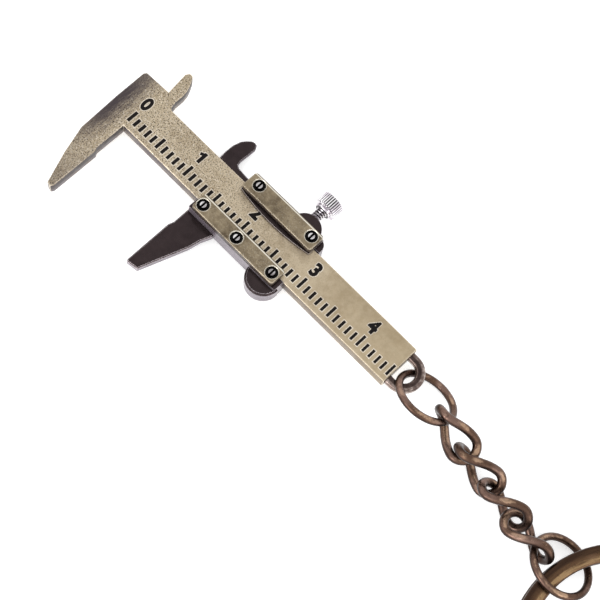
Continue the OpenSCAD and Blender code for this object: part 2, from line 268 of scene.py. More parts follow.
def wire_section(radius: float, out: float, filled: bool) -> Mesh:
    """A round wire's section, upright and clear of the Z axis, to spin a ring from.

    Args:
        radius: The wire's radius.
        out: The ring's radius.
        filled: Whether the section is a face, which closes the wire's ends.

    Returns:
        The section's mesh.
    """
    bm = bmesh.new()
    bmesh.ops.create_circle(bm, cap_ends=filled, segments=WIRE_SIDES, radius=radius)
    move(bm, Matrix.Translation((out, 0, 0)) @ Matrix.Rotation(math.pi / 2, 4, "X"))
    return bm


def sink_ring(bm: Mesh, ring: Sequence[bmesh.types.BMEdge], centre: Vector,
              size: float, drop: float) -> list[bmesh.types.BMEdge]:
    """Extrude a ring of edges downwards and scale it about its centre.

    Args:
        bm: The mesh.
        ring: The edges.
        centre: The ring's centre.
        size: Scale of the new ring.
        drop: How much lower it lies.

    Returns:
        The new ring's edges.
    """
    grown = bmesh.ops.extrude_edge_only(bm, edges=list(ring))["geom"]
    verts = only(bmesh.types.BMVert, grown)
    bmesh.ops.scale(bm, vec=(size, size, 1), space=Matrix.Translation(-centre), verts=verts)
    bmesh.ops.translate(bm, vec=(0, 0, -drop), verts=verts)
    new = set(verts)
    return [edge for edge in {e for vert in verts for e in vert.link_edges}
            if set(edge.verts) <= new]


def merge_into(target: Mesh, part: Mesh,
               place: Optional[Matrix] = None) -> None:
    """Add a copy of one mesh to another.

    Args:
        target: The mesh that grows.
        part: The mesh that is copied and freed.
        place: Where the copy goes.
    """
    if place is not None:
        move(part, place)
    scratch = bpy.data.meshes.new("scratch")
    part.to_mesh(scratch)
    part.free()
    target.from_mesh(scratch)
    bpy.data.meshes.remove(scratch)


def fit(piece: Piece, materials: Sequence[Material], body: Body, slot: str,
        *nodes: str) -> None:
    """Paint a new piece, set it on its body and let it stand for CAD nodes.

    Args:
        piece: The piece.
        materials: Its materials, in the order that its faces count them.
        body: The body that it rides on.
        slot: The record's material slot; not used.
        nodes: The CAD nodes that it replaces.
    """
    for material in materials:
        piece.data.materials.append(material)
    if nodes:
        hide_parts(*nodes)
    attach(piece, body.value)


def chain_place(offset: Place, tilt: float, turn: float, roll: float = 0.0) -> Matrix:
    """Where a chain piece stands, from the end loop's centre.

    Args:
        offset: Its centre, from the loop's centre.
        tilt: Turn about Y, in degrees.
        turn: Turn about Z, in degrees.
        roll: Turn about its own length, in degrees, before the others.

    Returns:
        The placing matrix.
    """
    return (Matrix.Translation(Vector(EndLoop.centre) + Vector(offset))
            @ Matrix.Rotation(math.radians(turn), 4, "Z")
            @ Matrix.Rotation(math.radians(tilt), 4, "Y")
            @ Matrix.Rotation(math.radians(roll), 4, "X"))


# ---------------------------------------------------------------- finishes


@dataclass(frozen=True)
class Noise:
    """A noise pattern on the object, and the part of its range that turns from 0 to 1.

    The scale is per metre along X, Y and Z, and the turn is about Z, in degrees.
    """

    scale: Place
    detail: float = 3.0
    rough: float = 0.55
    turn: float = 0.0
    span: Optional[Point] = None


class Pattern(Enum):
    """The patterns of wear, grain and grime, and of painted glints and highlights."""

    CLOUDS = Noise((170, 170, 170), 4.0, span=(0.35, 0.66))
    MOTTLE = Noise((1100, 1100, 1100), rough=0.6, span=(0.32, 0.68))
    SPECKS = Noise((6000, 6000, 6000), 2.0, 0.7, span=(0.53, 0.62))
    GLINTS = Noise((5600, 5600, 5600), 2.0, 0.7, 30.0, (0.55, 0.67))
    PATCHES = Noise((260, 260, 260), 2.0, span=(0.35, 0.65))
    WALL_STAINS = Noise((300, 900, 900), span=(0.4, 0.8))
    RIM_WEAR_AND_SHINE = Noise((700, 700, 700), span=(0.3, 0.55))
    STAINS = Noise((900, 900, 900), span=(0.3, 0.7))
    SCRATCHES = Noise((260, 6500, 1500), 2.0, 0.6, 4.0)
    PITS = Noise((3600, 3600, 3600), 2.0, 0.7)
    HEAD_STREAKS = Noise((4600, 700, 800), 4.0, 0.7, -8.0, (0.3, 0.7))
    WIRE_PATCHES = Noise((380, 380, 380), 4.0, 0.6, span=(0.34, 0.66))
    WIRE_GRIME = Noise((1900, 1900, 1900), rough=0.6)
    WIRE_BLUSH = Noise((210, 210, 210), 2.0, span=(0.48, 0.62))
    WIRE_DENTS = Noise((3300, 3300, 3300))
    STEEL_CLOUDS = Noise((1500, 400, 1500), span=(0.4, 0.65))
    STEEL_BRUSHING = Noise((5200, 1300, 5200), 2.0)
    FILL_WEAR = Noise((2500, 2500, 2500), span=(0.55, 0.8))


class Graph:
    """A small builder for the nodes of a material or a world."""

    samples = 6
    edge_span = (0.996, 0.95)
    open_span = (0.75, 0.3)

    def __init__(self, owner: Material | bpy.types.World) -> None:
        """Switch the owner's nodes on and find its shader.

        Args:
            owner: The new material or world.
        """
        owner.use_nodes = True
        self.owner = owner
        self.tree = owner.node_tree
        is_world = isinstance(owner, bpy.types.World)
        self.shader = self.tree.nodes["Background" if is_world else "Principled BSDF"]
        self.coords = self.node("ShaderNodeTexCoord")

    def fill(self, node: bpy.types.Node, inputs: dict[str | int, object]) -> None:
        """Link the inputs that are given a socket, and set the others on the node itself.

        Args:
            node: The node.
            inputs: Sockets or values, by the name or number of its inputs.
        """
        for key, value in inputs.items():
            if isinstance(value, Socket):
                self.tree.links.new(value, node.inputs[key])
            else:
                node.inputs[key].default_value = value

    def node(self, kind: str, inputs: Optional[dict[str | int, object]] = None,
             **settings: object) -> bpy.types.Node:
        """Add a node.

        Args:
            kind: Its type.
            inputs: Sockets or values for its inputs.
            settings: Its properties.

        Returns:
            The node.
        """
        made = self.tree.nodes.new(kind)
        for key, value in settings.items():
            setattr(made, key, value)
        self.fill(made, inputs or {})
        return made

    def ramp(self, source: Socket, low: float, high: float, out_low: float = 0.0,
             out_high: float = 1.0, kind: str = "SMOOTHSTEP") -> Socket:
        """Turn a value's range into another.

        Args:
            source: The value.
            low, high: The range that is used.
            out_low, out_high: What it becomes.
            kind: How it runs between the two.

        Returns:
            The new value.
        """
        made = self.node("ShaderNodeMapRange",
                         {"Value": source, "From Min": low, "From Max": high,
                          "To Min": out_low, "To Max": out_high}, interpolation_type=kind)
        return made.outputs["Result"]

    def noise(self, pattern: Pattern, out_low: float = 0.0, out_high: float = 1.0) -> Socket:
        """Lay a pattern on the object's own coordinates.

        Args:
            pattern: The pattern.
            out_low, out_high: What the ends of its span become.

        Returns:
            Its value, which is the plain noise where it has no span.
        """
        look = pattern.value
        place = self.node("ShaderNodeMapping", {
            "Vector": self.coords.outputs["Object"], "Scale": look.scale,
            "Rotation": (0, 0, math.radians(look.turn))})
        plain = self.node("ShaderNodeTexNoise", {
            "Vector": place.outputs["Vector"], "Scale": 1.0, "Detail": look.detail,
            "Roughness": look.rough}).outputs["Fac"]
        return self.ramp(plain, *look.span, out_low, out_high) if look.span else plain

    def math(self, kind: str, first: Socket,
             second: Socket | float = 0.0) -> Socket:
        """Combine two values, or change one alone."""
        return self.node("ShaderNodeMath", {0: first, 1: second}, operation=kind).outputs["Value"]

    def mix(self, amount: Socket, first: Socket | Colour,
            second: Socket | Colour) -> Socket:
        """Mix two colours.

        Args:
            amount: Share of the second.
            first, second: Colours or sockets.

        Returns:
            The mixed colour.
        """
        made = self.node("ShaderNodeMix", {0: amount}, data_type="RGBA")
        for index, value in ((6, first), (7, second)):
            self.fill(made, {index: (*value, 1.0) if isinstance(value, tuple) else value})
        return made.outputs[2]

    def from_axis(self, axis: str, centre: Point) -> Socket:
        """Distance from a line along an axis.

        Args:
            axis: The line's direction.
            centre: Where it crosses the other two axes, in metres.

        Returns:
            The distance in metres.
        """
        place, size = [-value for value in centre], [1.0, 1.0]
        for numbers in (place, size):
            numbers.insert("XYZ".index(axis), 0.0)
        across = self.node("ShaderNodeMapping", {"Vector": self.coords.outputs["Object"],
                                                 "Location": place, "Scale": size})
        return self.node("ShaderNodeVectorMath", {0: across.outputs["Vector"]},
                         operation="LENGTH").outputs["Value"]

    def split(self, source: str, axis: str) -> Socket:
        """One axis of the owner's coordinates of one kind."""
        return self.node("ShaderNodeSeparateXYZ", {0: self.coords.outputs[source]}).outputs[axis]

    def along(self, axis: str) -> Socket:
        """One coordinate of the object, in metres."""
        return self.split("Object", axis)

    def slope(self, axis: str) -> Socket:
        """How far the surface faces along an axis, from -1 to 1."""
        return self.split("Normal", axis)

    def steep(self, axis: str) -> Socket:
        """How far the surface faces along an axis, either way, from 0 to 1."""
        return self.math("ABSOLUTE", self.slope(axis))

    def edge_wear_and_highlight(self, radius: float) -> Socket:
        """Share of worn edge and painted edge highlight within a radius of the piece's corners.

        Args:
            radius: Width of the wear, in metres.

        Returns:
            The share, 0 on open faces.
        """
        bevel = self.node("ShaderNodeBevel", {"Radius": radius}, samples=self.samples)
        geometry = self.node("ShaderNodeNewGeometry")
        dot = self.node("ShaderNodeVectorMath",
                        {0: bevel.outputs["Normal"], 1: geometry.outputs["Normal"]},
                        operation="DOT_PRODUCT")
        return self.ramp(dot.outputs["Value"], *self.edge_span)

    def crevice(self, reach: float) -> Socket:
        """Share of grime and painted shade, in narrow places within a reach.

        Args:
            reach: How far a wall must be to count as open, in metres.

        Returns:
            The share, 0 in the open.
        """
        hidden = self.node("ShaderNodeAmbientOcclusion", {"Distance": reach},
                           samples=self.samples)
        return self.ramp(hidden.outputs["AO"], *self.open_span)

    def relief(self, height: Socket, strength: float, distance: float) -> None:
        """Raise the surface by a height pattern.

        Args:
            height: The pattern.
            strength: How strongly it shows.
            distance: Its depth in metres.
        """
        bump = self.node("ShaderNodeBump",
                         {"Height": height, "Strength": strength, "Distance": distance})
        self.fill(self.shader, {"Normal": bump.outputs["Normal"]})


@dataclass(frozen=True)
class Finish:
    """One finish of the object, made into a material by its own layout of nodes."""

    name: str

    def paint(self, g: Graph) -> None:
        """Lay out the nodes."""
        raise NotImplementedError

    def material(self) -> Material:
        """Make the finish's material.

        Returns:
            The material.
        """
        g = Graph(bpy.data.materials.new(self.name))
        self.paint(g)
        return g.owner


@dataclass(frozen=True)
class PlateFinish(Finish):
    """Metal plate whose flat faces, rims and upright walls take different colours: painted shade
    and reflection on the walls, wear and painted highlight on the rims.
    """

    flat: Colour
    flat_dark: Colour
    # Bright colour of worn rims, which also serves as their painted edge highlight and as the
    # painted glints.
    rim: Colour
    # Wall colour: painted shade and reflection on the upright walls.
    wall_shading: Colour
    # Dark colour of grain specks, of painted shade in corners and of the painted shadow line.
    speck_and_shade: Colour
    metallic: float = 0.9
    rough: float = 0.38
    grain: float = 0.5
    grain_depth: float = 0.00004
    glinting: float = 0.55
    # Strength of grime and painted shade in corners.
    grime_and_shade: float = 0.85
    # Width of the rims' wear and painted edge highlight.
    wear_highlight_width: float = 0.00012
    speckle: float = 0.6
    cloudy: float = 0.5
    wall_metal: float = 0.4
    grime_and_shade_reach: float = 0.0004
    dark_below: Optional[Point] = None
    # Y places of rims that get painted highlight lines; faces turned to +Y then take painted
    # shadow.
    highlight_lines_y: tuple[float, ...] = ()
    highlight_line_width: Point = (0.0001, 0.00004)

    def face(self, g: Graph) -> Socket:
        """Mottled and speckled colour of the open faces, with painted glints.

        Args:
            g: The material being built.

        Returns:
            The colour.
        """
        amount = g.math("ADD", g.math("MULTIPLY", g.noise(Pattern.CLOUDS), self.cloudy),
                        g.math("MULTIPLY", g.noise(Pattern.MOTTLE), self.cloudy * 0.8))
        face = g.mix(amount, self.flat, self.flat_dark)
        if self.speckle <= 0:
            return face
        share = self.coverage(g)
        face = g.mix(g.math("MULTIPLY", g.noise(Pattern.SPECKS), share), face, self.speck_and_shade)
        # Painted glints: bright specks in the rim colour.
        glints = g.math("MULTIPLY", g.noise(Pattern.GLINTS),
                        g.math("MULTIPLY", share, self.glinting))
        return g.mix(glints, face, self.rim)

    def side(self, g: Graph) -> Socket:
        """Colour of the upright walls: painted shade and reflection, with stains, and a dark band
        set by height where that is asked for.

        Args:
            g: The material being built.

        Returns:
            The colour.
        """
        side = g.mix(g.noise(Pattern.WALL_STAINS, 0.0, 0.5), self.wall_shading, self.flat_dark)
        if self.dark_below is None:
            return side
        low = g.ramp(g.along("Z"), *self.dark_below)
        low = g.math("MULTIPLY", low, g.ramp(g.slope("X"), 0.3, 0.8, 0.35, 1.0))
        return g.mix(low, side, self.speck_and_shade)

    def coverage(self, g: Graph) -> Socket:
        """How strongly grains show; in patches on a plain plate."""
        return g.noise(Pattern.PATCHES, self.speckle * 0.4, self.speckle)

    def patina(self, g: Graph, face: Socket) -> Socket:
        """Darker zones of one piece; a plain plate has none."""
        return face

    def rim_wear_and_highlight(self, g: Graph) -> Socket:
        """Share of bright colour: worn metal and painted edge highlight on the rims, and painted
        highlight lines along the given rims.

        Args:
            g: The material being built.

        Returns:
            The share.
        """
        # Rims take the bright colour: worn metal, and painted edge highlight.
        edge = g.math("MULTIPLY", g.edge_wear_and_highlight(self.wear_highlight_width),
                      g.noise(Pattern.RIM_WEAR_AND_SHINE, 0.6, 1.0))
        # Painted highlight lines along the given rims.
        for place in self.highlight_lines_y:
            away = g.math("ABSOLUTE", g.math("SUBTRACT", g.along("Y"), place))
            edge = g.math("MAXIMUM", edge, g.ramp(away, *self.highlight_line_width, 0.0, 0.8))
        return edge

    def paint(self, g: Graph) -> None:
        """Lay out faces, walls with painted shade and reflection, rims with wear and painted
        highlight, and grime and painted shade in corners.

        Args:
            g: The material being built.
        """
        # Upright walls take their own colour, as painted shade and reflection.
        upright = g.ramp(g.steep("Z"), 0.5, 0.15)
        colour = g.mix(upright, self.patina(g, self.face(g)), self.patina(g, self.side(g)))
        # Painted edge highlight, with wear, in the rim colour.
        colour = g.mix(self.rim_wear_and_highlight(g), colour, self.rim)
        # Painted shadow: faces turned towards +Y take the dark colour.
        if self.highlight_lines_y:
            colour = g.mix(g.ramp(g.slope("Y"), 0.3, 0.7), colour, self.speck_and_shade)
        # Grime and painted shade in narrow places.
        grime_and_shade = g.math("MULTIPLY", g.crevice(self.grime_and_shade_reach), self.grime_and_shade)
        wall_metal = self.metallic * self.wall_metal
        g.fill(g.shader, {
            "Base Color": g.mix(grime_and_shade, colour, self.speck_and_shade),
            "Metallic": g.ramp(upright, 0.0, 1.0, self.metallic, wall_metal),
            "Roughness": g.noise(Pattern.STAINS, self.rough - 0.06, self.rough + 0.12)})
        height = g.math("ADD", g.math("MULTIPLY", g.noise(Pattern.SCRATCHES), 0.5),
                        g.noise(Pattern.PITS))
        g.relief(height, self.grain, self.grain_depth)


@dataclass(frozen=True)
class BeamFinish(PlateFinish):
    """The beam's brass: coarse grain and a dark back on the head, warmer at the free end.

    Each range runs along X or Y, and says where a zone changes.
    """

    head: Colour = (0.1, 0.08, 0.07)
    far: Colour = (0.4, 0.3, 0.2)
    grain_x: Point = (-0.002, 0.036)
    back_x: Point = (0.0001, -0.0034)
    back_low_y: Point = (0.0005, 0.0085)
    back_high_y: Point = (0.0165, 0.0115)
    jaw_tip_y: Point = (0.0075, -0.003)
    far_x: Point = (0.020, 0.045)
    ragged: float = 0.0006

    def coverage(self, g: Graph) -> Socket:
        """Coarse grain on the head, that fades towards the free end."""
        return g.ramp(g.along("X"), *self.grain_x, self.speckle * 1.35, self.speckle * 0.1)

    def patina(self, g: Graph, face: Socket) -> Socket:
        """Darken the head's back and the jaw's tip, and warm the far half of the bar.

        Args:
            g: The material being built.
            face: The plain colour.

        Returns:
            The colour with its zones.
        """
        streak = g.noise(Pattern.HEAD_STREAKS, -self.ragged, self.ragged)
        dark = g.ramp(g.math("ADD", g.along("X"), streak), *self.back_x)
        low = g.ramp(g.along("Y"), *self.back_low_y, 0.35, 1.0)
        high = g.ramp(g.along("Y"), *self.back_high_y, 0.75, 1.0)
        dark = g.math("MULTIPLY", dark, g.math("MULTIPLY", low, high))
        tip = g.ramp(g.along("Y"), *self.jaw_tip_y, 0.05, 0.46)
        face = g.mix(g.math("MAXIMUM", dark, tip), face, self.head)
        return g.mix(g.ramp(g.along("X"), *self.far_x, 0.0, 0.45), face, self.far)


@dataclass(frozen=True)
class WireFinish(Finish):
    """Antique wire, with painted shade on its sides and in its hollows, and painted highlight with
    polish on its tops.
    """

    # Dark is painted shade on the sides, and grime; bright is painted highlight with polish on
    # top.
    dark: Colour
    middle: Colour
    bright: Colour
    blush: Colour
    metallic: float = 0.9
    rough: float = 0.3
    # Where the painted highlight on the tops begins.
    edge: float = 0.9
    grime_and_shade: float = 0.8
    grime_and_shade_reach: float = 0.0009
    dent_depth: float = 0.00003

    def lift(self, g: Graph) -> Socket:
        """How far the wire's surface faces up, with patches, from -1 to 1; it sets painted light
        and shade, and polish where it rubs.
        """
        return g.math("ADD", g.slope("Z"), g.noise(Pattern.WIRE_PATCHES, -0.14, 0.14))

    def paint(self, g: Graph) -> None:
        """Lay out painted shade on the sides, painted highlight with polish on the tops, blush,
        and grime with painted shade in narrow places.

        Args:
            g: The material being built.
        """
        fine = g.noise(Pattern.WIRE_GRIME)
        lift = self.lift(g)
        # Painted shade on the sides, painted highlight with polish on the tops.
        colour = g.mix(g.ramp(lift, 0.35, self.edge), self.dark, self.middle)
        colour = g.mix(g.ramp(lift, self.edge, 1.04), colour, self.bright)
        rosy = g.noise(Pattern.WIRE_BLUSH, 0.0, 0.45)
        # Rosy blush, laid only on the upper faces where the painted highlight falls.
        colour = g.mix(g.math("MULTIPLY", rosy, g.ramp(lift, 0.5, 0.9)), colour, self.blush)
        colour = g.mix(g.ramp(fine, 0.52, 0.72, 0.0, 0.45), colour, self.dark)
        # Grime and painted shade in narrow places.
        grime_and_shade = g.math("MULTIPLY", g.crevice(self.grime_and_shade_reach), self.grime_and_shade)
        g.fill(g.shader, {
            "Base Color": g.mix(grime_and_shade, colour, self.dark), "Metallic": self.metallic,
            "Roughness": g.ramp(fine, 0.35, 0.7, self.rough - 0.06, self.rough + 0.12)})
        g.relief(g.noise(Pattern.WIRE_DENTS), 0.25, self.dent_depth)


@dataclass(frozen=True)
class LoopFinish(WireFinish):
    """The end loop, with painted highlight outside a line round its middle, at the eye and on its
    walls, and painted shade along that line.
    """

    centre: Point = (0.0, 0.0)
    # Where the painted highlight bands start, outside and inside the middle line.
    outer_radius: Point = (0.00205, 0.00217)
    inner_radius: Point = (0.00172, 0.00158)

    def lift(self, g: Graph) -> Socket:
        """Follow lines that run round the eye and along both arms, for painted highlight and
        shade.

        Args:
            g: The material being built.

        Returns:
            Painted light and shade, with random stains.
        """
        ahead = g.math("MAXIMUM", g.math("SUBTRACT", g.along("X"), self.centre[0]))
        across = g.math("SUBTRACT", g.along("Y"), self.centre[1])
        reach = g.math("SQRT", g.math("ADD", g.math("MULTIPLY", ahead, ahead),
                                      g.math("MULTIPLY", across, across)))
        # Painted highlight bands outside and inside the middle line, painted shade between them.
        outer = g.ramp(reach, *self.outer_radius, 0.0, 0.42)
        inner = g.ramp(reach, *self.inner_radius, 0.0, 0.45)
        # Walls painted brighter, as painted reflection.
        wall_shading = g.ramp(g.steep("Z"), 0.5, 0.2, 0.0, 0.4)
        grime = g.noise(Pattern.STAINS, 0.4, 0.62)
        return g.math("ADD", grime, g.math("ADD", wall_shading, g.math("MAXIMUM", outer, inner)))


@dataclass(frozen=True)
class BandFinish(WireFinish):
    """Flat ring wire, brushed round its length, with painted light by the slope of its section and
    painted shade along its outer rim.
    """

    centre: Point = (0.0, 0.0)
    # Where the painted shade along the outer rim begins and is full.
    shaded_rim_radius: Point = (0.01248, 0.01348)
    lines_across: float = 3600.0
    lines_round: float = 260.0

    def lift(self, g: Graph) -> Socket:
        """Lay fine lines that run round the ring over the slope of its section.

        Args:
            g: The material being built.

        Returns:
            Painted light by the slope of the section, brushed lines, and painted shade at the
            outer rim.
        """
        radius = g.from_axis("Z", self.centre)
        place = g.node("ShaderNodeCombineXYZ", {
            "X": g.math("MULTIPLY", radius, self.lines_across),
            "Y": g.math("MULTIPLY", g.along("X"), self.lines_round),
            "Z": g.math("MULTIPLY", g.along("Y"), self.lines_round)})
        lines = g.node("ShaderNodeTexNoise", {"Vector": place.outputs["Vector"], "Scale": 1.0,
                                              "Detail": 3.0})
        streak = g.ramp(lines.outputs["Fac"], 0.3, 0.7, -0.09, 0.09)
        # Painted shade along the outer rim.
        side = g.ramp(radius, *self.shaded_rim_radius, 0.0, -0.52)
        return g.math("ADD", g.slope("Z"), g.math("ADD", streak, side))


@dataclass(frozen=True)
class SteelFinish(Finish):
    """Turned or plated steel with fine brushing."""

    base: Colour
    shade: Colour
    # Black of painted shade in hollows and corners, with grime there.
    groove: Colour
    metallic: float = 1.0
    rough: float = 0.22
    grime_and_shade_reach: float = 0.0004
    brushing_depth: float = 0.00002

    def hollows(self, g: Graph, colour: Socket) -> Socket:
        """Painted shade in the hollows of one piece; plain steel has none."""
        return colour

    def paint(self, g: Graph) -> None:
        """Lay out soft clouds, painted shade in the hollows, and grime and painted shade in
        corners.

        Args:
            g: The material being built.
        """
        cloud = g.noise(Pattern.STEEL_CLOUDS)
        colour = self.hollows(g, g.mix(cloud, self.base, self.shade))
        # Grime and painted shade in corners, in the groove colour.
        g.fill(g.shader, {
            "Base Color": g.mix(g.crevice(self.grime_and_shade_reach), colour, self.groove),
            "Metallic": self.metallic,
            "Roughness": g.ramp(cloud, 0.0, 1.0, self.rough, self.rough + 0.1)})
        g.relief(g.noise(Pattern.STEEL_BRUSHING), 0.15, self.brushing_depth)


@dataclass(frozen=True)
class HeadFinish(SteelFinish):
    """Screw heads, bright on top, and black as painted shade in the slot and round the side."""

    flat_z: Point = (0.002348, 0.002336)

    def hollows(self, g: Graph, colour: Socket) -> Socket:
        """Blacken what lies lower than the head's flat, as painted shade."""
        return g.mix(g.ramp(g.along("Z"), *self.flat_z), colour, self.groove)


@dataclass(frozen=True)
class ThumbFinish(SteelFinish):
    """Plated thumb screw, with painted shade in its flutes, under its knob and in its thread.

    Each radius range says where a zone of painted shade starts or ends.
    """

    axis: Point = (0.0, 0.0)
    shank_y: Point = (0.0189, 0.0188)
    flute_out: Point = (0.00168, 0.00163)
    flute_in: Point = (0.00138, 0.00146)
    thread_root: Point = (0.00073, 0.00063)
    ring_y: Point = (0.01905, 0.01895)
    ring_out: Point = (0.00108, 0.00102)
    ring_in: Point = (0.00074, 0.0008)

    def hollows(self, g: Graph, colour: Socket) -> Socket:
        """Paint shade into the flutes, the thread's root and the ring under the knob.

        Args:
            g: The material being built.
            colour: The plain colour.

        Returns:
            The darkened colour.
        """
        radius = g.from_axis("Y", self.axis)
        flutes = g.math("MULTIPLY", g.ramp(radius, *self.flute_out),
                        g.ramp(radius, *self.flute_in))
        flutes = g.math("MULTIPLY", flutes, g.ramp(g.steep("Y"), 0.3, 0.1))
        root = g.math("MULTIPLY", g.ramp(radius, *self.thread_root),
                      g.ramp(g.along("Y"), *self.shank_y))
        # Painted shadow in the ring under the knob.
        under = g.math("MULTIPLY", g.ramp(g.along("Y"), *self.ring_y, 0.0, 0.9),
                       g.math("MULTIPLY", g.ramp(radius, *self.ring_in),
                              g.ramp(radius, *self.ring_out)))
        dark = g.math("MAXIMUM", g.math("MAXIMUM", flutes, root), under)
        return g.mix(dark, colour, self.groove)


@dataclass(frozen=True)
class PaintFinish(Finish):
    """Dull black fill of the engraved marks, and black painted shade in the screw seats."""

    base: Colour
    worn: Colour
    rough: float = 0.5

    def paint(self, g: Graph) -> None:
        """Lay out the fill, worn paler in small spots.

        Args:
            g: The material being built.
        """
        wear = g.noise(Pattern.FILL_WEAR, 0.0, 0.35)
        g.fill(g.shader, {
            "Base Color": g.mix(wear, self.base, self.worn), "Specular IOR Level": 0.15,
            "Roughness": g.ramp(wear, 0.0, 0.35, self.rough, self.rough + 0.15)})


class Finishes:
    """The object's materials, by the record's slots."""

    # Plate colours: face, darker face, rim (wear and painted edge highlight), walls (painted shade
    # and reflection), dark specks and painted shade.
    brass = BeamFinish("antique_brass", tint(213, 197, 170), tint(180, 163, 136),
                       tint(255, 244, 226), tint(92, 80, 84), tint(50, 40, 36),
                       head=tint(78, 70, 72), far=tint(166, 147, 113), wear_highlight_width=0.0002,
                       speckle=0.95, cloudy=0.6, wall_metal=0.25, dark_below=(-0.0004, 0.0001))
    strip_brass = PlateFinish("strip_brass", tint(158, 143, 118), tint(88, 75, 58),
                              tint(255, 250, 236), tint(58, 48, 45), tint(40, 32, 26),
                              wear_highlight_width=0.0002, speckle=0.3, cloudy=0.6, wall_metal=0.15,
                              # Painted highlight lines on the strips' far rims.
                              highlight_lines_y=(0.00889, 0.01545))
    gunmetal = PlateFinish("gunmetal", tint(62, 52, 53), tint(48, 40, 41), tint(196, 188, 192),
                           tint(128, 118, 127), tint(16, 12, 13), rough=0.2, grain=0.1,
                           wear_highlight_width=0.00007, speckle=0.0, wall_metal=0.5)
    spring = PlateFinish("spring_steel", tint(64, 54, 54), tint(40, 33, 34), tint(214, 204, 200),
                         tint(140, 130, 132), tint(18, 14, 15), rough=0.25, grain=0.1,
                         wear_highlight_width=0.00009, speckle=0.0)
    # Steel colours: base, cloud tone, and the black of painted shade in hollows and corners.
    screw = HeadFinish("screw_steel", tint(240, 238, 238), tint(140, 134, 136), tint(7, 5, 5),
                       rough=0.2, grime_and_shade_reach=0.0001)
    # Nickel: painted shade in the flutes, thread and under the knob, in the groove colour.
    nickel = ThumbFinish("nickel", tint(254, 252, 254), tint(216, 209, 216), tint(26, 20, 24),
                         rough=0.12, grime_and_shade_reach=0.0002, axis=(0.02455, 0.0001))
    # Wire colours: dark (painted shade and grime), middle, bright (painted highlight with polish),
    # blush.
    wire = WireFinish("chain_bronze", tint(54, 39, 34), tint(96, 73, 60), tint(178, 147, 122),
                      tint(152, 124, 114))
    # Loop colours: painted shade, middle, painted highlight, blush.
    loop = LoopFinish("loop_brass", tint(48, 37, 35), tint(108, 92, 86), tint(174, 160, 153),
                      tint(128, 110, 102), centre=(0.04585, 0.01118))
    # Ring colours: painted shade, middle, painted highlight, blush.
    ring = BandFinish("ring_brass", tint(58, 41, 31), tint(100, 75, 54), tint(164, 134, 98),
                      tint(126, 98, 77), centre=(0.08765, 0.00485))
    fill = PaintFinish("mark_fill", tint(12, 8, 8), tint(60, 50, 40))
    # Black painted shade in the screw seats.
    seat = PaintFinish("seat_shade", tint(8, 6, 6), tint(26, 20, 17))
    # Raised burrs round the marks, painted brighter than the brass as a highlight.
    lip = PlateFinish("mark_lip_highlight", tint(236, 224, 204), tint(176, 160, 138), tint(255, 248, 236),
                      tint(190, 176, 160), tint(74, 60, 50), cloudy=0.7, speckle=0.7)


# ---------------------------------------------------------------- the beam


@dataclass
class EndLoop:
    """The half ring at the beam's free end."""

    outside: float = 2.65
    eye: float = 1.42
    thick: float = 1.1
    rounding: float = 0.5
    arm: float = 1.0
    steps: int = 36
    centre: Place = (46.2, 2.88, -0.95)

    def build(self) -> Piece:
        """Spin the rounded section round the eye and run both arms back into the bar.

        Returns:
            The loop.
        """
        half = self.thick / 2
        bm = flat_face([(0, -self.eye, -half), (0, -self.outside, -half),
                        (0, -self.outside, half), (0, -self.eye, half)], self.rounding)
        spin_round(bm, math.pi, self.steps)
        ends = [face for face in bm.faces if all(abs(v.co.x) < WELD for v in face.verts)]
        for end in ends:
            grown = bmesh.ops.extrude_face_region(bm, geom=[end])["geom"]
            bmesh.ops.translate(bm, vec=(-self.arm, 0, 0), verts=only(bmesh.types.BMVert, grown))
        bmesh.ops.delete(bm, geom=[face for face in ends if face.is_valid], context="FACES_ONLY")
        bmesh.ops.remove_doubles(bm, verts=bm.verts[:], dist=WELD)
        bmesh.ops.translate(bm, vec=self.centre, verts=bm.verts[:])
        return finish_mesh(bm, "end_loop")

    def dress(self) -> None:
        """Build the loop, paint it and set it on the beam's body."""
        fit(self.build(), [Finishes.loop.material()], Body.BEAM, "antique_brass")


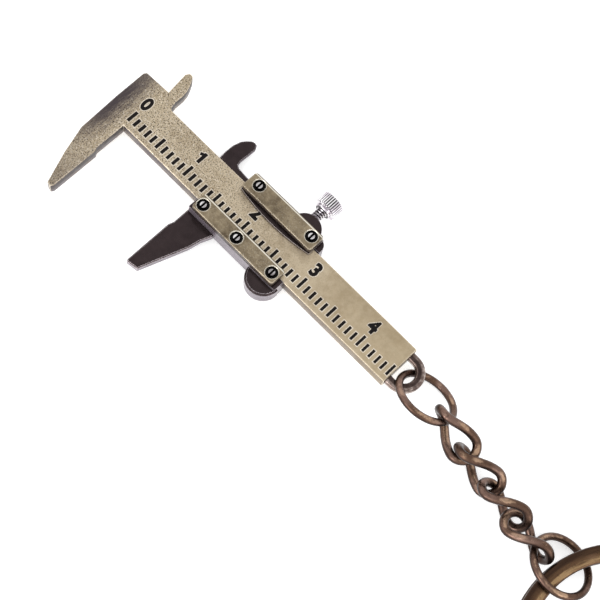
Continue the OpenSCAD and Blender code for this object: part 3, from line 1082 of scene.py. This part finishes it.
@dataclass
class ScaleBeam:
    """The brass bar with the fixed jaws, its engraved marks and numerals."""

    length: float = 45.45
    width: float = 5.8
    thick: float = 2.0
    rim: float = 0.18
    outer_reach: float = 12.1
    inner_reach: float = 5.25
    face: float = 0.35
    marks: int = 46
    long_every: int = 5
    mark_y: float = 1.42
    long_mark_rise: float = 0.22
    short_mark: float = 1.2
    long_mark: float = 1.66
    mark_width: float = 0.46
    mark_taper: float = 0.0024
    mark_rim: float = 0.015
    groove: float = 0.06
    fill_top: float = 0.014
    # Raised lips round the marks; their bright colour is a painted highlight.
    highlight_lip_top: float = 0.006
    highlight_lip_width: float = 0.1
    numeral_height: float = 1.98
    numeral_width: float = 0.92
    numeral_depth: float = 0.05
    stroke: float = 0.05
    one_half_width: float = 0.24
    one_half_share: float = 0.42
    flag_length: float = 0.66
    flag_half_width: float = 0.21
    flag_place: Place = (-0.02, -0.28, -0.001)
    flag_turn: float = 24.0
    numerals: tuple[tuple[str, float, float], ...] = (
        ("0", 0.0, 4.1), ("1", 9.93, 4.1), ("2", 19.8, 4.05), ("3", 29.98, 4.05),
        ("4", 39.83, 4.05))

    def outline(self) -> list[Point]:
        """Lay out the plan of head, jaws and bar.

        Returns:
            Its corners, counterclockwise.
        """
        top = self.width + 1.4
        tip = -self.outer_reach
        hook = self.width + self.inner_reach
        w = self.width
        return [(0.52, top + 0.06), (-3.28, top - 0.06), (-3.54, w + 0.94), (-3.49, 2.1),
                (-3.23, -3.97), (-2.1, tip + 4.35), (-0.51, tip + 0.18), (0.1, tip),
                (self.face, tip + 0.4), (self.face, -4.9), (0.12, -4.5), (0.12, 0.0),
                (self.length, 0.0), (self.length, w), (2.6, w), (2.3, w + 0.3), (2.12, w + 1.2),
                (2.12, w + 2.5), (1.95, hook - 1.85), (1.6, hook - 1.05), (1.15, hook - 0.25),
                (0.9, hook), (0.4, hook), (0.1, hook - 0.55)]

    def build_bar(self) -> Piece:
        """The bar with both fixed jaws."""
        return finish_mesh(plate_from_outline(self.outline(), -self.thick, 0.0, self.rim),
                           "scale_beam")

    def add_marks(self, bm: Mesh, grow: float, top: float) -> None:
        """Add the millimetre marks to a mesh.

        Args:
            bm: The mesh.
            grow: How much wider than the groove they are on each side.
            top: Their height over the face.
        """
        for step in range(self.marks):
            long = step % self.long_every == 0
            half = (self.long_mark if long else self.short_mark) / 2 + grow
            middle = self.mark_y + (self.long_mark_rise if long else 0.0)
            across = (self.mark_width - self.mark_taper * step) / 2 + grow
            merge_into(bm, box_part((step - across, middle - half, -self.groove),
                                    (step + across, middle + half, top), self.mark_rim))

    def add_one(self, bm: Mesh, place: Point, grow: float, top: float) -> None:
        """Add the figure 1, a bar with a short flag.

        Args:
            bm: The mesh.
            place: The figure's middle.
            grow: How much bolder it is on each side.
            top: Its height over the face.
        """
        spot = Matrix.Translation((*place, 0))
        half = self.numeral_height * self.one_half_share
        wide, high = self.one_half_width + grow, half + grow
        merge_into(bm, box_part((-wide, -high, -self.groove), (wide, high, top), self.mark_rim),
                   spot)
        wide = self.flag_half_width + grow
        flag = box_part((-self.flag_length - grow, -wide, -self.groove), (0.0, wide, top),
                        self.mark_rim)
        place = Matrix.Translation(Vector((0, half, 0)) + Vector(self.flag_place))
        merge_into(bm, flag, spot @ place @ Matrix.Rotation(math.radians(self.flag_turn), 4, "Z"))

    def numeral(self, text: str) -> Mesh:
        """Make a figure of the built-in plain font, with its middle at the origin.

        Args:
            text: The figure.

        Returns:
            Its mesh, as high and wide as the numerals are.
        """
        curve = bpy.data.curves.new("numeral", "FONT")
        curve.body = text
        curve.size = 1.0
        curve.extrude = self.numeral_depth
        curve.offset = self.stroke
        curve.resolution_u = 6
        holder = bpy.data.objects.new("numeral", curve)
        bpy.context.scene.collection.objects.link(holder)
        bpy.context.view_layer.update()
        shape = bpy.data.meshes.new_from_object(
            holder.evaluated_get(bpy.context.evaluated_depsgraph_get()))
        part = bmesh.new()
        part.from_mesh(shape)
        bpy.data.objects.remove(holder)
        bpy.data.curves.remove(curve)
        bpy.data.meshes.remove(shape)
        (low_x, high_x), (low_y, high_y) = (
            (min(places), max(places)) for places in zip(*(vert.co.xy for vert in part.verts)))
        size = self.numeral_height / (high_y - low_y)
        bmesh.ops.remove_doubles(part, verts=part.verts[:], dist=WELD)
        bmesh.ops.recalc_face_normals(part, faces=part.faces[:])
        middle = Vector((-(low_x + high_x) / 2, -(low_y + high_y) / 2, 0))
        move(part, Matrix.Diagonal((size * self.numeral_width, size, 1, 1))
             @ Matrix.Translation(middle))
        return part

    def add_numerals(self, bm: Mesh, grow: float, top: float) -> None:
        """Add the plain numerals of the centimetres to a mesh.

        Args:
            bm: The mesh.
            grow: How much bolder they are on each side.
            top: Their height over the face.
        """
        for text, x, y in self.numerals:
            if text == "1":
                self.add_one(bm, (x, y), grow, top)
                continue
            part = self.numeral(text)
            move(part, Matrix.Translation((x, y, top - self.numeral_depth)))
            if grow > 0:
                for vert in part.verts:
                    flat = Vector((vert.normal.x, vert.normal.y))
                    vert.co.xy += flat.normalized() * grow
            merge_into(bm, part)

    def build_engraving(self, name: str, grow: float, top: float) -> Piece:
        """Make the marks and numerals of one width as one piece.

        Args:
            name: The piece's name.
            grow: How much wider than the groove they are on each side.
            top: Their height over the face.

        Returns:
            The piece.
        """
        bm = bmesh.new()
        self.add_marks(bm, grow, top)
        self.add_numerals(bm, grow, top)
        return finish_mesh(bm, name, smooth=False)

    def dress(self) -> None:
        """Build the beam's pieces, paint them and set them on the beam's body."""
        fit(self.build_bar(), [Finishes.brass.material()], Body.BEAM, "antique_brass", "beam")
        # Black fill of the marks, and bright lips round them as a painted highlight.
        for name, grow, top, finish in (
                ("scale_figures", 0.0, self.fill_top, Finishes.fill),
                ("scale_highlight_lips", self.highlight_lip_width, self.highlight_lip_top, Finishes.lip)):
            fit(self.build_engraving(name, grow, top), [finish.material()], Body.BEAM,
                "antique_brass")
        EndLoop().dress()
        log.info("beam, marks and numerals are built")


# ---------------------------------------------------------------- the slider


@dataclass
class CoverStrip:
    """A brass cover strip with round corners, rounded rims that show wear and painted highlight,
    and sunk screw seats that take black painted shade.
    """

    name: str
    x: Point
    y: Point
    seats: tuple[float, ...]
    seat_y: float
    low: float = 0.3
    top: float = 1.3
    rim: float = 0.18
    corner: float = 0.4
    seat: float = 0.79
    seat_sides: int = 40
    lip: float = 0.06
    sink: float = 0.35

    def build(self) -> Piece:
        """Round the plate, open its face round the seats and sink them.

        Returns:
            The strip. Its second material is for the seats, painted black as shade.
        """
        (left, right), (near, far) = self.x, self.y
        bm = plate_from_outline([(left, near), (right, near), (right, far), (left, far)],
                                self.low, self.top, self.rim, self.corner)
        face = max(bm.faces, key=lambda item: item.calc_center_median().z)
        border = face.edges[:]
        bmesh.ops.delete(bm, geom=[face], context="FACES_ONLY")
        wide = self.seat + self.lip
        rings = []
        for x in self.seats:
            made = bmesh.ops.create_circle(bm, segments=self.seat_sides, radius=wide,
                                           matrix=Matrix.Translation((x, self.seat_y, self.top)))
            rings.append(list({edge for vert in made["verts"] for edge in vert.link_edges}))
            border += rings[-1]
        bmesh.ops.triangle_fill(bm, edges=border, use_beauty=True, normal=(0, 0, 1))
        for x, ring in zip(self.seats, rings):
            centre = Vector((x, self.seat_y, 0))
            ring = sink_ring(bm, ring, centre, self.seat / wide, self.lip)
            upper = set(bm.faces)
            ring = sink_ring(bm, ring, centre, 1.0, self.sink - self.lip)
            bmesh.ops.edgeloop_fill(bm, edges=ring)
            for seat_face in set(bm.faces) - upper:
                seat_face.material_index = 1
        return finish_mesh(bm, self.name + "_plate")

    def dress(self, brass: Material, grime: Material) -> None:
        """Build the strip, paint it and set it on the slider's body."""
        fit(self.build(), [brass, grime], Body.SLIDER, "antique_brass", self.name)


@dataclass
class StripScrews:
    """Slotted cheese-head screws in the strips' seats."""

    places: tuple[Point, ...]
    head: float = 0.5
    head_low: float = 0.95
    top: float = 1.35
    rim: float = 0.13
    slot: float = 0.28
    rim_steps: int = 4
    slot_depth: float = 0.2
    shank: float = 0.3
    shank_low: float = -0.7

    def half_head(self, side: int) -> Mesh:
        """Turn the head's top with its round rim and cut it on one side of the slot.

        Args:
            side: 1 or -1, the side that is kept.

        Returns:
            The half head.
        """
        turns = [step * math.pi / 2 / self.rim_steps for step in range(self.rim_steps + 1)]
        radius = [self.head - self.rim * (1 - math.cos(turn)) for turn in turns]
        height = [self.rim * math.sin(turn) for turn in turns]
        bm = stack(disc(self.head, self.top - self.slot_depth),
                   [(self.slot_depth - self.rim, 1.0)]
                   + [(height[step] - height[step - 1], radius[step] / radius[step - 1])
                      for step in range(1, len(turns))])
        cut = bmesh.ops.bisect_plane(bm, geom=bm.verts[:] + bm.edges[:] + bm.faces[:],
                                     plane_co=(side * self.slot / 2, 0, 0),
                                     plane_no=(-side, 0, 0), clear_outer=True)
        bmesh.ops.edgeloop_fill(bm, edges=only(bmesh.types.BMEdge, cut["geom_cut"]))
        return bm

    def build(self) -> Piece:
        """Turn one screw's parts and set them in every seat.

        Returns:
            The screws, as one piece.
        """
        bm = bmesh.new()
        for x, y in self.places:
            spot = Matrix.Translation((x, y, 0))
            for side in (1, -1):
                merge_into(bm, self.half_head(side), spot)
            merge_into(bm, stack(disc(self.head, self.head_low),
                                 [(self.top - self.slot_depth - self.head_low, 1.0)]), spot)
            merge_into(bm, stack(disc(self.shank, self.shank_low, WIRE_SIDES),
                                 [(self.head_low - self.shank_low, 1.0)]), spot)
        return finish_mesh(bm, "strip_screw_heads")

    def dress(self) -> None:
        """Build the screws, paint them and set them on the slider's body."""
        fit(self.build(), [Finishes.screw.material()], Body.SLIDER, "screw_steel", "strip_screws")


@dataclass
class LockScrew:
    """Thumb screw along Y: threaded shank, collar and fluted knob."""

    axis_x: float = 24.9
    axis_z: float = -0.9
    tip: float = 6.0
    collar_at: float = 10.3
    shank: float = 0.76
    pitch: float = 0.36
    thread: float = 0.15
    collar: float = 1.1
    collar_length: float = 0.3
    collar_edge: float = 0.05
    knob: float = 1.7
    knob_length: float = 1.8
    flutes: int = 34
    flute_sides: int = 4
    flute: float = 0.14
    chamfer: float = 0.18
    chamfer_rise: float = 0.7
    dish: tuple[tuple[float, float], ...] = ((0.0, 0.72), (-0.12, 0.96))
    turn_steps: int = 32

    def threaded(self) -> Mesh:
        """Spin a zigzag line round the shank while it climbs by one pitch.

        Returns:
            The threaded shank.
        """
        bm = bmesh.new()
        bends = 2 * int((self.collar_at - self.tip) / self.pitch) + 1
        line = [bm.verts.new((self.shank - self.thread * (bend % 2), 0, bend * self.pitch / 2))
                for bend in range(bends)]
        for pair in zip(line, line[1:]):
            bm.edges.new(pair)
        spin_round(bm, 2 * math.pi, self.turn_steps, climb=self.pitch / self.turn_steps)
        bmesh.ops.remove_doubles(bm, verts=bm.verts[:], dist=10 * WELD)
        bmesh.ops.holes_fill(bm, edges=[edge for edge in bm.edges if edge.is_boundary], sides=0)
        return bm

    def knob_part(self) -> Mesh:
        """Cut the flutes into a round blank, raise it with chamfered ends and dish its face.

        Returns:
            The knob.
        """
        blank = disc(self.knob, 0.0, self.flute_sides * self.flutes)
        low = 1 - self.flute / self.knob
        for vert in blank.verts[:][self.flute_sides - 1::self.flute_sides]:
            bmesh.ops.scale(blank, vec=(low, low, 1), verts=[vert])
        small, rise = 1 - self.chamfer / self.knob, self.chamfer * self.chamfer_rise
        bmesh.ops.scale(blank, vec=(small, small, 1), verts=blank.verts[:])
        return stack(blank, [(rise, 1 / small), (self.knob_length - 2 * rise, 1.0), (rise, small),
                             *self.dish])

    def build(self) -> Piece:
        """Put the screw's turned parts together along its axis.

        Returns:
            The screw.
        """
        bm = bmesh.new()
        merge_into(bm, self.threaded())
        at, narrow, overlap = self.collar_at - self.tip, self.collar - self.collar_edge, 0.01
        merge_into(bm, stack(disc(narrow, at - overlap),
                             [(self.collar_edge + overlap, self.collar / narrow),
                              (self.collar_length - self.collar_edge, 1.0)]))
        merge_into(bm, self.knob_part(), Matrix.Translation((0, 0, at + self.collar_length)))
        move(bm, Matrix.Translation((self.axis_x, self.tip, self.axis_z))
             @ Matrix.Rotation(-math.pi / 2, 4, "X"))
        return finish_mesh(bm, "thumb_screw")

    def dress(self) -> None:
        """Build the screw, paint it and set it on its body."""
        fit(self.build(), [Finishes.nickel.material()], Body.LOCK, "nickel", "lock_screw")


@dataclass
class SliderGroup:
    """The cast slider with its strips, spring plate, screws and lock screw."""

    lower: CoverStrip = field(default_factory=lambda: CoverStrip(
        "lower_strip", (13.95, 27.87), (-1.6, 0.83), (14.9, 20.7, 26.8), -0.48))
    upper: CoverStrip = field(default_factory=lambda: CoverStrip(
        "upper_strip", (16.15, 27.95), (4.8, 7.39), (17.7, 26.76), 6.32))

    def dress(self) -> None:
        """Paint the slider and its spring, and build the pieces fixed to it."""
        for name, finish in (("slider", Finishes.gunmetal), ("leaf_spring", Finishes.spring)):
            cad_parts[name].data.materials.clear()
            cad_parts[name].data.materials.append(finish.material())
        # The seats take black painted shade.
        brass, grime = Finishes.strip_brass.material(), Finishes.seat.material()
        strips = (self.lower, self.upper)
        for strip in strips:
            strip.dress(brass, grime)
        StripScrews(tuple((x, strip.seat_y) for strip in strips for x in strip.seats)).dress()
        LockScrew().dress()
        log.info("slider, strips and screws are built")


# ---------------------------------------------------------------- the chain


@dataclass
class JumpRing:
    """A cut ring of round wire."""

    body: Body
    offset: Place
    tilt: float
    turn: float
    cut_turn: float
    radius: float = 3.8
    wire: float = 0.475
    cut: float = 0.12
    steps: int = 96

    def build(self) -> Piece:
        """Spin the wire's round section all but the cut's width.

        Returns:
            The ring.
        """
        gap = self.cut / self.radius
        bm = wire_section(self.wire, self.radius, True)
        move(bm, Matrix.Rotation(math.radians(self.cut_turn) + gap / 2, 4, "Z"))
        spin_round(bm, 2 * math.pi - gap, self.steps)
        move(bm, chain_place(self.offset, self.tilt, self.turn))
        return finish_mesh(bm, self.body.value + "_wire")

    def dress(self, bronze: Material) -> None:
        """Build the ring, paint it and set it on its body."""
        fit(self.build(), [bronze], self.body, "chain_bronze", self.body.value)


@dataclass
class CurbLink:
    """A closed wire whose plane turns from one end to the other."""

    body: Body
    offset: Place
    roll: float
    pitch: float
    yaw: float
    inner: float = 5.75
    inner_width: float = 2.36
    wire: float = 1.12
    from_angle: float = 98.0
    to_angle: float = 14.0
    twist_beyond: float = 1.2
    steps: int = 120
    blank_radius: float = 5.0
    near_share: float = 0.002

    def __post_init__(self) -> None:
        """Work out the bend and the straight from the wire's inside sizes."""
        self.bend = (self.inner_width + self.wire) / 2
        self.half = (self.inner + self.wire) / 2 - self.bend
        self.span = self.half + self.twist_beyond

    def track(self, share: float) -> Point:
        """Find a point of the untwisted centre line.

        Args:
            share: How far round it lies, from 0 to 1.

        Returns:
            Its place along and across the link.
        """
        straight, bend = 2 * self.half, math.pi * self.bend
        along = (share % 1.0) * 2 * (straight + bend)
        if along < straight:
            return along - self.half, self.bend
        if along < straight + bend:
            angle = (along - straight) / self.bend
            return self.half + self.bend * math.sin(angle), self.bend * math.cos(angle)
        if along < 2 * straight + bend:
            return self.half - (along - straight - bend), -self.bend
        angle = (along - 2 * straight - bend) / self.bend
        return -self.half - self.bend * math.sin(angle), -self.bend * math.cos(angle)

    def twist(self, x: float) -> float:
        """The wire plane's angle at a place along the link."""
        part = ease((x + self.span) / (2 * self.span))
        return math.radians(self.from_angle + (self.to_angle - self.from_angle) * part)

    def centre(self, share: float) -> Vector:
        """Find a point of the twisted centre line.

        Args:
            share: How far round it lies, from 0 to 1.

        Returns:
            Its place.
        """
        x, across = self.track(share)
        angle = self.twist(x)
        return Vector((x, across * math.cos(angle), across * math.sin(angle)))

    def build(self) -> Piece:
        """Spin a plain ring and carry each of its sections onto the twisted centre line.

        Returns:
            The link.
        """
        bm = wire_section(self.wire / 2, self.blank_radius, False)
        spin_round(bm, 2 * math.pi, self.steps, close=True)
        for vert in bm.verts:
            share = math.atan2(vert.co.y, vert.co.x) / (2 * math.pi)
            outward = math.hypot(vert.co.x, vert.co.y) - self.blank_radius
            along = (self.centre(share + self.near_share)
                     - self.centre(share - self.near_share)).normalized()
            angle = self.twist(self.track(share)[0])
            across = Vector((0, -math.sin(angle), math.cos(angle)))
            across = (across - along * across.dot(along)).normalized()
            vert.co = self.centre(share) + across * vert.co.z + along.cross(across) * outward
        move(bm, chain_place(self.offset, self.pitch, self.yaw, self.roll))
        return finish_mesh(bm, self.body.value.replace("chain", "curb"))

    def dress(self, bronze: Material) -> None:
        """Build the link, paint it and set it on its body."""
        fit(self.build(), [bronze], self.body, "chain_bronze", self.body.value)


@dataclass
class SplitRing:
    """Two flat coils of one wire, with the ramp that joins them."""

    radius: float = 14.0
    band: float = 2.1
    coil: float = 0.95
    gap: float = 0.1
    ramp: float = 14.0
    rounding: float = 0.4
    offset: Place = (41.8, -6.33, -0.56)
    tilt: float = 2.31
    steps: int = 240
    spread: float = 10.0

    def height(self, degrees: float) -> float:
        """The wire's rise at an angle counted from the ramp's middle, over two turns."""
        return (self.coil + self.gap) * ease((degrees - 360 + self.ramp) / (2 * self.ramp))

    def build(self) -> Piece:
        """Spin the flat section through two turns and lift the second onto the first.

        Each section first climbs by the spread, which tells the sections apart, and is then
        brought down to its own height.

        Returns:
            The ring.
        """
        low = -self.coil - self.gap / 2
        inner, high = self.radius - self.band, low + self.coil
        bm = flat_face([(inner, 0, low), (self.radius, 0, low), (self.radius, 0, high),
                        (inner, 0, high)], self.rounding)
        sweep = 720 - 2 * self.ramp
        move(bm, Matrix.Rotation(math.radians(self.ramp), 4, "Z"))
        spin_round(bm, math.radians(sweep), self.steps, climb=self.spread)
        for vert in bm.verts:
            number = round((vert.co.z + self.coil) / self.spread)
            rise = self.height(self.ramp + number * sweep / self.steps)
            vert.co.z += rise - number * self.spread
        move(bm, chain_place(self.offset, self.tilt, 0))
        return finish_mesh(bm, "split_ring")

    def dress(self) -> None:
        """Build the split ring, paint it and set it on its body."""
        fit(self.build(), [Finishes.ring.material()], Body.KEY_RING, "ring_brass", "key_ring")


@dataclass
class Chain:
    """Jump rings, curb links and split ring."""

    links: tuple[tuple[Body, Place, float, float, float], ...] = (
        (Body.LINK_1, (9.44, -1.16, 0.5), 2.6, 6.1, -12.6),
        (Body.LINK_2, (14.22, -2.07, -0.06), 20.3, 2.9, -3.4),
        (Body.LINK_3, (19.26, -2.9, -0.03), 39.9, -2.3, -1.3),
        (Body.LINK_4, (23.8, -3.74, -0.01), 64.1, -2.6, -3.4))
    rings: tuple[tuple[Body, Place, float, float, float], ...] = (
        (Body.BEAM_RING, (4.07, -0.38, 0.37), 38.2, 93.0, -115.0),
        (Body.CHAIN_RING, (28.82, -3.38, -0.18), 28.29, 83.23, -30.0))

    def dress(self) -> None:
        """Build all the pieces of the chain."""
        bronze = Finishes.wire.material()
        for kind, pieces in ((JumpRing, self.rings), (CurbLink, self.links)):
            for sizes in pieces:
                kind(*sizes).dress(bronze)
        SplitRing().dress()
        log.info("chain and split ring are built")


# ---------------------------------------------------------------- the studio


@dataclass
class Studio:
    """Floor, light and camera, in metres in the row frame."""

    floor_z: float = -0.00246
    floor_half: float = 1.5
    floor_x: float = 0.05
    floor_colour: Colour = (0.9, 0.9, 0.9)
    floor_glow: float = 0.5
    sky_height: Point = (0.3, 0.85)
    sky_strength: Point = (1.25, 0.96)
    sky_depth: Point = (-0.8, 0.8)
    sky_front: Point = (1.15, 0.85)
    middle: Place = (0.035, 0.008, 0.0)
    focal: float = 87.78
    sensor: float = 36.0
    clip: Point = (0.01, 10.0)
    eye: Place = (0.061264, -0.042959, 0.166527)
    look: Place = (-0.17193, 0.29101, -0.94114)
    up: Place = (-0.69157, 0.64472, 0.32569)
    lamps: tuple[tuple[str, Place, float, float], ...] = (
        ("key", (-0.05, -0.42, 0.20), 0.25, 0.7), ("side", (0.42, -0.05, 0.16), 0.25, 0.3))

    def camera(self) -> None:
        """Set the camera where the photograph was taken from."""
        data = bpy.data.cameras.new("camera")
        data.lens = self.focal
        data.sensor_width = self.sensor
        data.clip_start, data.clip_end = self.clip
        holder = bpy.data.objects.new("camera", data)
        look = Vector(self.look).normalized()
        right = look.cross(Vector(self.up)).normalized()
        place = Matrix((right, right.cross(look), -look)).transposed().to_4x4()
        place.translation = self.eye
        holder.matrix_world = place
        bpy.context.scene.collection.objects.link(holder)
        bpy.context.scene.camera = holder

    def floor(self) -> None:
        """Lay the pale floor, white to the camera and in reflections, with its shadow kept."""
        bm = bmesh.new()
        bmesh.ops.create_grid(bm, x_segments=2, y_segments=2, size=self.floor_half)
        move(bm, Matrix.Translation((self.floor_x, 0, self.floor_z)))
        plane = link_new("floor", bm)
        g = Graph(bpy.data.materials.new("floor_white"))
        g.tree.nodes.remove(g.shader)
        path = g.node("ShaderNodeLightPath").outputs
        seen = g.math("MAXIMUM", path["Is Camera Ray"],
                      g.math("MAXIMUM", path["Is Glossy Ray"], path["Is Transmission Ray"]))
        diffuse = g.node("ShaderNodeBsdfDiffuse", {"Color": (*self.floor_colour, 1.0)})
        seen = g.math("MULTIPLY", seen, self.floor_glow)
        glow = g.node("ShaderNodeEmission", {"Strength": seen})
        both = g.node("ShaderNodeAddShader", {0: diffuse.outputs[0], 1: glow.outputs[0]})
        g.fill(g.tree.nodes["Material Output"], {"Surface": both.outputs[0]})
        plane.data.materials.append(g.owner)

    def world(self) -> None:
        """A white surround that is a little dimmer overhead and behind."""
        world = bpy.data.worlds.new("surround")
        bpy.context.scene.world = world
        g = Graph(world)
        overhead = g.ramp(g.split("Generated", "Z"), *self.sky_height, *self.sky_strength)
        front = g.ramp(g.split("Generated", "Y"), *self.sky_depth, *self.sky_front, "LINEAR")
        strength = g.math("MULTIPLY", overhead, front)
        path = g.node("ShaderNodeLightPath").outputs
        for ray in ("Is Camera Ray", "Is Transmission Ray"):
            strength = g.math("MAXIMUM", path[ray], strength)
        g.fill(g.shader, {"Color": (1, 1, 1, 1), "Strength": strength})

    def lamp(self, name: str, place: Place, size: float, power: float) -> None:
        """Hang a square soft lamp that points at the object's middle.

        Args:
            name: The lamp's name.
            place: Where it hangs.
            size: Its side.
            power: Its power in watts.
        """
        data = bpy.data.lights.new(name, "AREA")
        data.shape = "SQUARE"
        data.size = size
        data.energy = power
        holder = bpy.data.objects.new(name, data)
        aim = Vector(self.middle) - Vector(place)
        holder.rotation_euler = aim.to_track_quat("-Z", "Y").to_euler()
        holder.location = place
        bpy.context.scene.collection.objects.link(holder)

    def set_up(self) -> None:
        """Set up camera, floor, world and lamps."""
        self.camera()
        self.floor()
        self.world()
        for lamp in self.lamps:
            self.lamp(*lamp)
        bpy.context.scene.view_settings.view_transform = "Standard"
        log.info("studio is set up")


def main() -> None:
    """Build the scene piece by piece."""
    logging.basicConfig(level=logging.INFO)
    Studio().set_up()
    ScaleBeam().dress()
    SliderGroup().dress()
    Chain().dress()


if __name__ == "__main__":
    main()
